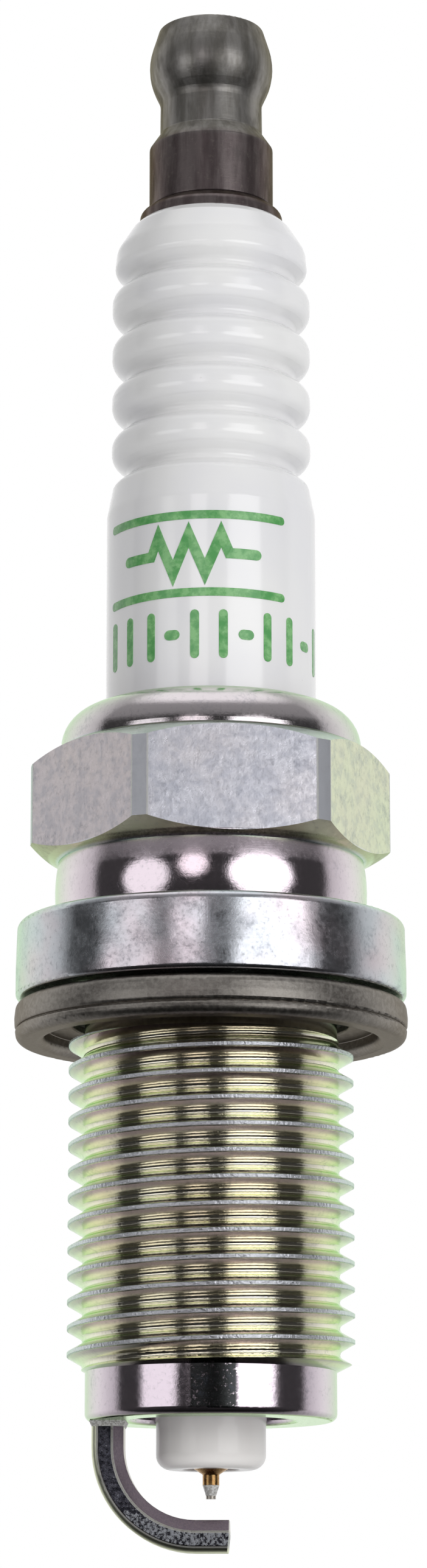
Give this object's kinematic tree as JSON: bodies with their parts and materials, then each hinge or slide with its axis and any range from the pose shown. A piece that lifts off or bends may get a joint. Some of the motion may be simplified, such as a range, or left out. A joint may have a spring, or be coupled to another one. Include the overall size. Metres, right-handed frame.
{
  "type": "spark plug",
  "caption": "Long-reach M14 spark plug with ribbed white insulator, hex shell, folded gasket, fine-wire electrode and screw-on terminal nut.",
  "frame": {"origin": "centre of the gasket's lower face, the plane that seats on the cylinder head", "axes": "+Z along the plug's axis from the firing end to the terminal; -X is the side that carries the ground electrode; -Y is the front"},
  "size_m": [0.0192, 0.0192, 0.0768],
  "materials": {
    "nut_steel": "satin",
    "stud_steel": "satin",
    "glazed_alumina": "gloss",
    "seal_glass": "matte",
    "resistor_mass": "matte",
    "nickel_alloy": "satin",
    "copper": "satin",
    "noble_metal": "satin",
    "plated_steel": "satin",
    "washer_steel": "satin",
    "talc": "matte",
    "gasket_steel": "matte"
  },
  "bodies": {
    "plug": {"terminal_stud": "stud_steel", "insulator": "glazed_alumina", "upper_glass_seal": "seal_glass", "resistor": "resistor_mass", "lower_glass_seal": "seal_glass", "center_electrode": "nickel_alloy", "center_electrode_core": "copper", "electrode_tip_weld": "nickel_alloy", "electrode_tip": "noble_metal", "shell": "plated_steel", "seat_packing": "washer_steel", "lower_packing_ring": "washer_steel", "talc_powder": "talc", "upper_packing_ring": "washer_steel", "ground_electrode": "nickel_alloy", "ground_electrode_weld": "nickel_alloy"},
    "nut": {"terminal_nut": "nut_steel"},
    "gasket": {"gasket": "gasket_steel"}
  },
  "joints": [
    {"name": "nut_unscrew", "type": "slide", "parent": "plug", "child": "nut", "axis": [0, 0, 1], "range_m": [0, 0.0075]},
    {"name": "gasket_float", "type": "slide", "parent": "plug", "child": "gasket", "axis": [0, 0, 1], "range_m": [-0.0006, 0.00015]}
  ]
}
